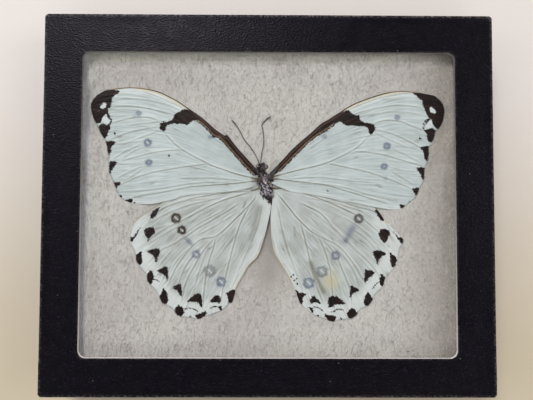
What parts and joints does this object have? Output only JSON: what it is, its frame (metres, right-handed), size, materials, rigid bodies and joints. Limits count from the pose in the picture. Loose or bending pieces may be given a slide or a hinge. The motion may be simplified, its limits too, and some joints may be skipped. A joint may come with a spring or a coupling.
{
  "type": "framed butterfly specimen",
  "caption": "Shallow black card display box with a glazed window over a spread white butterfly with dark spots, lying on batting.",
  "frame": {"origin": "middle of the box's back, on the surface it lies on", "axes": "+X across the box to the butterfly's right wings, +Y towards its head, +Z out through the glass"},
  "size_m": [0.159, 0.1344, 0.0191],
  "materials": {
    "black_card": "black fine-grained paper folded over card, low sheen, raw pale edge at the window",
    "glass": "clear flat pane",
    "batting": "matt grey-beige batting of fine loose fibres",
    "wing": "matt pale blue-white scales with brown-black spots and fine pleats",
    "body": "dark brown-black with grey hair",
    "antenna": "dark brown, slightly glossy"
  },
  "bodies": {
    "root": {"lid": "black_card", "tray": "black_card", "glass": "glass", "batting": "batting", "forewing_left": "wing", "forewing_right": "wing", "hindwing_left": "wing", "hindwing_right": "wing", "thorax": "body", "head": "body", "abdomen_stub": "body", "antenna_left": "antenna", "antenna_right": "antenna"}
  },
  "joints": []
}
